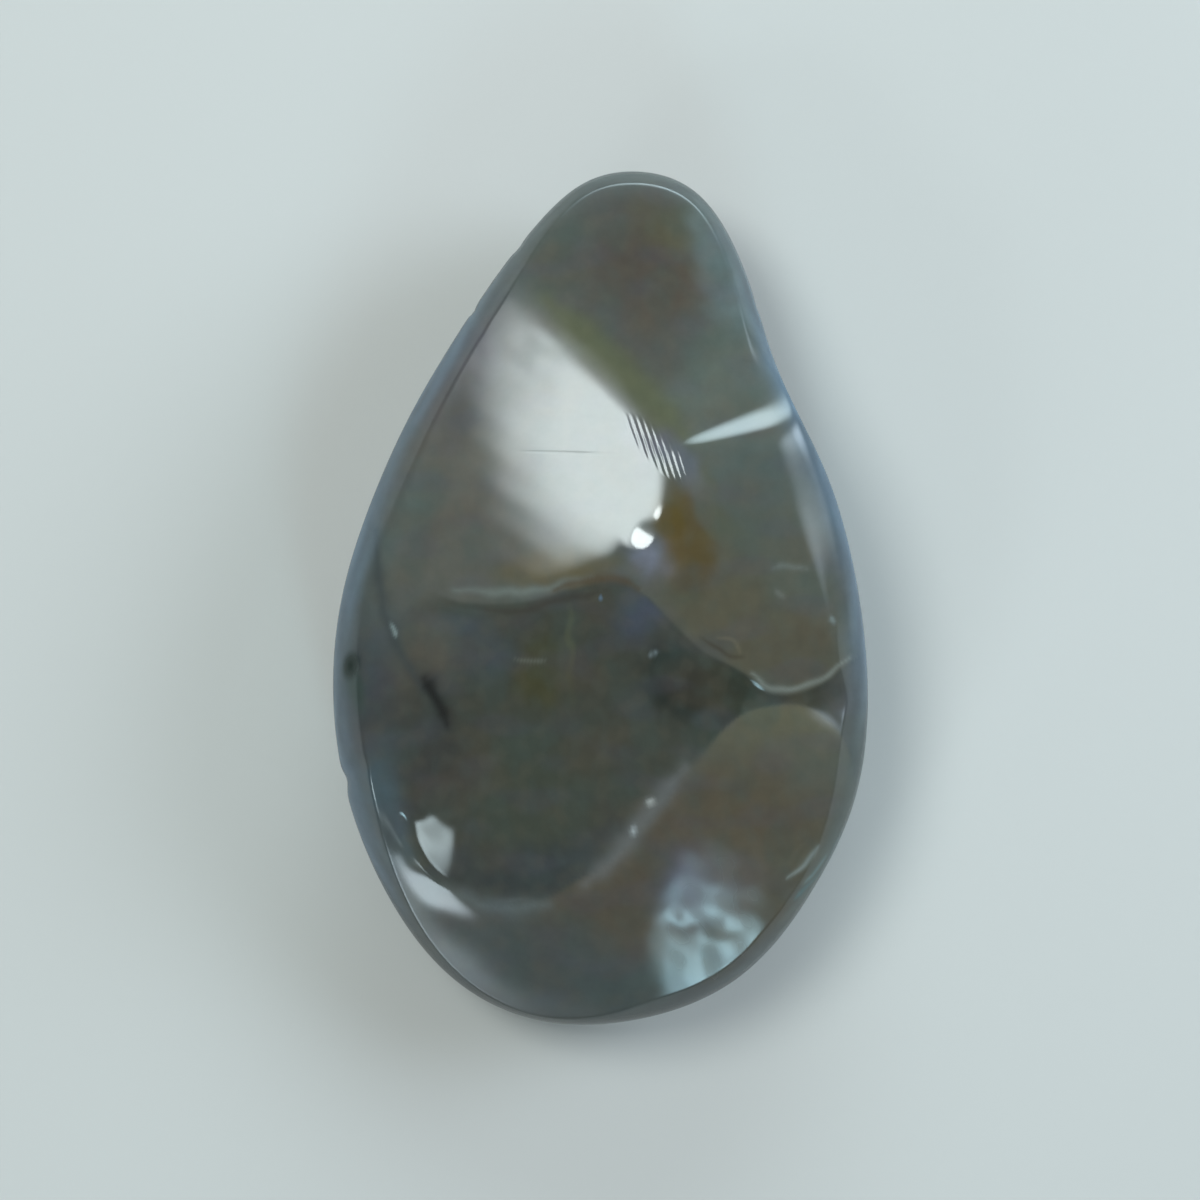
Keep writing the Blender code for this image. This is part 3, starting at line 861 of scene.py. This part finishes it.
def add_node(tree, kind, settings=None, first=(), **values):
    """Add a node.  Values are numbers for its sockets, or sockets to link from:
    the first ones in order, where sockets share a name, and the others by name."""
    made = tree.nodes.new(kind)
    for key, value in (settings or {}).items():
        setattr(made, key, value)
    named = [(made.inputs[key.replace("_", " ")], value) for key, value in values.items()]
    for socket, value in [*zip(made.inputs, first), *named]:
        if isinstance(value, bpy.types.NodeSocket):
            tree.links.new(value, socket)
        else:
            socket.default_value = value
    return made


def oval_mask(tree, place, middle, half_size, turn):
    """Node output that is 1 in the middle of an upright oval column and falls
    to 0 at its sides; middle and half size are in millimetres."""
    spot = add_node(tree, "ShaderNodeMapping", {"vector_type": "TEXTURE"}, Vector=place,
                    Location=(middle[0] * MM, middle[1] * MM, 0.0),
                    Rotation=(0.0, 0.0, np.radians(turn)),
                    Scale=(half_size[0] * MM, half_size[1] * MM, 1.0))
    return add_node(tree, "ShaderNodeTexGradient", {"gradient_type": "SPHERICAL"},
                    Vector=spot.outputs["Vector"]).outputs["Fac"]


def smoky_bands(tree, place):
    """Node output with the colour of the stone's inside: a row of smoky colours
    over the heights of a soft noise."""
    smoke = add_node(tree, "ShaderNodeTexNoise", Vector=place, Scale=1.0 / (SMOKE_SIZE * MM),
                     Detail=4.0, Distortion=SMOKE_BEND)
    bands = add_node(tree, "ShaderNodeValToRGB", Fac=smoke.outputs["Fac"])
    elements = bands.color_ramp.elements
    first, *between, last = SMOKE_COLOURS
    for element, (position, colour) in zip(elements, (first, last)):
        element.position = position
        element.color = (*linear(colour), 1.0)
    for position, colour in between:
        elements.new(position).color = (*linear(colour), 1.0)
    return bands.outputs["Color"]


def stone_colour(tree, place):
    """Node output with the painted colours over the smoky bands, both darkened
    a little by the grain."""
    cover = add_node(tree, "ShaderNodeAttribute", {"attribute_name": "cover"})
    pigment = add_node(tree, "ShaderNodeAttribute", {"attribute_name": "pigment"})
    mixed = add_node(tree, "ShaderNodeMix", {"data_type": "RGBA"}, Factor=cover.outputs["Fac"],
                     A=smoky_bands(tree, place), B=pigment.outputs["Color"])
    grain = add_node(tree, "ShaderNodeTexNoise", Vector=place, Scale=1.0 / (GRAIN_SIZE * MM),
                     Detail=5.0, Roughness=GRAIN_ROUGHNESS)
    shade = add_node(tree, "ShaderNodeMapRange", Value=grain.outputs["Fac"],
                     From_Min=GRAIN_RANGE[0], From_Max=GRAIN_RANGE[1],
                     To_Min=GRAIN_SHADE[0], To_Max=GRAIN_SHADE[1])
    shaded = add_node(tree, "ShaderNodeVectorMath", {"operation": "SCALE"},
                      Vector=mixed.outputs["Result"], Scale=shade.outputs["Result"])
    return shaded.outputs["Vector"]


def fine_lines(tree, place):
    """Node output with the normal under two marks too narrow for the mesh: rows
    of growth lines on the ridge, short slanted glints in the gloss, and one
    long fine scratch, a hair line."""
    slanted = add_node(tree, "ShaderNodeMapping", Vector=place,
                       Rotation=(0.0, 0.0, np.radians(GROWTH_SLANT)))
    rows = add_node(tree, "ShaderNodeTexWave", {"bands_direction": "X"},
                    Vector=slanted.outputs["Vector"], Detail=1.0, Distortion=GROWTH_BEND,
                    Scale=2.0 * np.pi / (WAVE_RADIANS * GROWTH_PITCH * MM))
    lines = add_node(tree, "ShaderNodeMath", {"operation": "MULTIPLY"},
                     (rows.outputs["Color"], oval_mask(tree, place, *GROWTH_PATCH)))
    growth = add_node(tree, "ShaderNodeBump", Strength=1.0, Distance=GROWTH_HEIGHT * MM,
                      Height=lines.outputs["Value"])
    scratch = add_node(tree, "ShaderNodeBump", {"invert": True}, Strength=1.0,
                       Distance=SCRATCH_DEPTH * MM, Normal=growth.outputs["Normal"],
                       Height=oval_mask(tree, place, *SCRATCH_PATCH))
    return scratch.outputs["Normal"]


def polished_chalcedony():
    """Agate, ground and polished by hand.  To the eye it is a hard clear gloss
    over smoky grey-olive stone, duller where the polish is worn."""
    material = bpy.data.materials.new("polished_chalcedony")
    material.use_nodes = True
    tree = material.node_tree
    shader = tree.nodes["Principled BSDF"]
    place = add_node(tree, "ShaderNodeTexCoord").outputs["Object"]
    dull = add_node(tree, "ShaderNodeAttribute", {"attribute_name": "dull"})
    roughness = add_node(tree, "ShaderNodeMapRange", Value=dull.outputs["Fac"],
                         To_Min=POLISH_ROUGHNESS, To_Max=HAZE_ROUGHNESS)
    tree.links.new(stone_colour(tree, place), shader.inputs["Base Color"])
    tree.links.new(fine_lines(tree, place), shader.inputs["Normal"])
    tree.links.new(roughness.outputs["Result"], shader.inputs["Roughness"])
    shader.inputs["IOR"].default_value = QUARTZ_IOR
    return material


def keep_values(mesh, name, kind, field, values):
    """Keep one value for each vertex as an attribute, for the material to read."""
    mesh.attributes.new(name, kind, "POINT").data.foreach_set(field, values.ravel())


def build_stone():
    """Build the stone: one surface, as long as the solid and centred as it is,
    with its colours on its vertices."""
    x, y, z, reach = stone_grid()
    middle_x = (x.max() + x.min()) / 2.0
    middle_y = (y.max() + y.min()) / 2.0
    scale = LENGTH / np.ptp(y)
    points = np.stack(((x - middle_x) * scale, (y - middle_y) * scale, z), axis=-1) * MM
    summit = top_height(*np.zeros((3, 1)))[0]
    mesh = closed_mesh("agate_stone", points, (-middle_x * MM, -middle_y * MM, summit * MM),
                       (-middle_x * MM, -middle_y * MM, 0.0))
    poles = np.zeros(2)
    pigment, cover = stone_pigment(np.append(x, poles), np.append(y, poles),
                                   np.append(z, (summit, 0.0)), np.append(reach, poles))
    opaque = np.ones(len(pigment))
    keep_values(mesh, "pigment", "FLOAT_COLOR", "color", np.column_stack((pigment, opaque)))
    keep_values(mesh, "cover", "FLOAT", "value", cover)
    keep_values(mesh, "dull", "FLOAT", "value", np.append(dullness(x, y, reach), poles))
    mesh.materials.append(polished_chalcedony())
    stone = bpy.data.objects.new("agate_stone", mesh)
    bpy.context.scene.collection.objects.link(stone)
    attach(stone, "root")
    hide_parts("agate")


# ---- table, light and camera ----
TABLE_SIZE = 4000.0
TABLE_COLOUR = "#bdbab6"
TABLE_ROUGHNESS = 0.8
ROOM_LIGHT = (0.17, 0.155, 0.14)    # linear red, green and blue, from all round
CAMERA_LENS = 135.0
CAMERA_SENSOR = 36.0
CAMERA_NEAR = 10.0
VIEW_WIDTH = 72.7            # what the camera sees across
VIEW_LEVEL = 9.0             # at this height above the table
LIGHT_DISTANCE = 500.0
# Soft lamps that the polish mirrors, each named for the light it puts on the
# stone: edge softness, azimuth, elevation, width, height, roll, radiance and
# colour.  Angles are in degrees.
LIGHTS = {
    "window": (0.5, 141, 64.5, 222, 272, -22, 13.2, "#f0fcfc"),
    "glow": (1.0, 116, 60, 160, 220, 0, 3.0, "#f0fcfc"),
    "streak": (0.8, 84, 22, 500, 330, 0, 12.0, "#d4eef6"),
    "rim": (0.8, 20, 32, 410, 450, 0, 10.5, "#d6eafa"),
    "corner": (0.5, -122, 18, 200, 120, 0, 9.0, "#e0f2fc"),
    "chip": (0.8, -134, 40, 150, 135, 0, 11.0, "#e0f6fc"),
    "heel": (0.9, -76, 37, 135, 280, 0, 18.0, "#b8e4f2"),
    "spot": (0.3, 143, 77.2, 44, 44, 0, 20.0, "#f4ffff"),
}


def add_light(name, softness, azimuth, elevation, width, height, roll, radiance, colour):
    """Add an oval softbox that faces the stone from azimuth and elevation, and
    dims towards its edge over the given share of its radius.  Its power is its
    radiance times pi times its area."""
    data = bpy.data.lights.new(name, "AREA")
    data.shape = "ELLIPSE"
    data.size = width * MM
    data.size_y = height * MM
    data.energy = radiance * np.pi * (np.pi / 4.0) * width * height * MM ** 2
    data.color = linear(colour)
    data.use_nodes = True
    tree = data.node_tree
    place = add_node(tree, "ShaderNodeNewGeometry").outputs["Parametric"]
    from_middle = add_node(tree, "ShaderNodeVectorMath", {"operation": "DISTANCE"},
                           (place, (0.5, 0.5, 0.0)))
    edge = add_node(tree, "ShaderNodeMapRange", {"interpolation_type": "SMOOTHSTEP"},
                    Value=from_middle.outputs["Value"], From_Min=0.5 * (1.0 - softness),
                    From_Max=0.5, To_Min=1.0, To_Max=0.0)
    tree.links.new(edge.outputs["Result"], tree.nodes["Emission"].inputs["Strength"])
    light = bpy.data.objects.new(name, data)
    a, e = np.radians((azimuth, elevation))
    away = Vector((np.cos(a) * np.cos(e), np.sin(a) * np.cos(e), np.sin(e)))
    facing = away.to_track_quat("Z", "Y").to_matrix().to_4x4()
    turn = facing @ Matrix.Rotation(np.radians(roll), 4, "Z")
    light.matrix_world = Matrix.Translation(away * LIGHT_DISTANCE * MM) @ turn
    light.visible_camera = False
    bpy.context.scene.collection.objects.link(light)


def pale_table():
    """Board painted matt: to the eye an even pale grey."""
    material = bpy.data.materials.new("pale_table")
    material.use_nodes = True
    shader = material.node_tree.nodes["Principled BSDF"]
    shader.inputs["Base Color"].default_value = (*linear(TABLE_COLOUR), 1.0)
    shader.inputs["Roughness"].default_value = TABLE_ROUGHNESS
    return material


def build_stage():
    """Build the table top, the light of the room and the lamps."""
    bpy.ops.mesh.primitive_plane_add(size=TABLE_SIZE * MM)
    floor = bpy.context.object
    floor.name = "table_top"
    floor.data.materials.append(pale_table())
    world = bpy.data.worlds.new("room")
    world.use_nodes = True
    world.node_tree.nodes["Background"].inputs["Color"].default_value = (*ROOM_LIGHT, 1.0)
    bpy.context.scene.world = world
    for name, values in LIGHTS.items():
        add_light(name, *values)


def place_camera():
    """Place the camera straight above the stone, as far off as its view needs:
    the width seen times the lens over the sensor."""
    camera = bpy.data.cameras.new("camera")
    camera.lens = CAMERA_LENS
    camera.sensor_width = CAMERA_SENSOR
    camera.clip_start = CAMERA_NEAR * MM
    view = bpy.data.objects.new("camera", camera)
    view.location = (0.0, 0.0, (VIEW_LEVEL + VIEW_WIDTH * CAMERA_LENS / CAMERA_SENSOR) * MM)
    bpy.context.scene.collection.objects.link(view)
    bpy.context.scene.camera = view
    bpy.context.scene.view_settings.view_transform = "Standard"


build_stage()
place_camera()
build_stone()
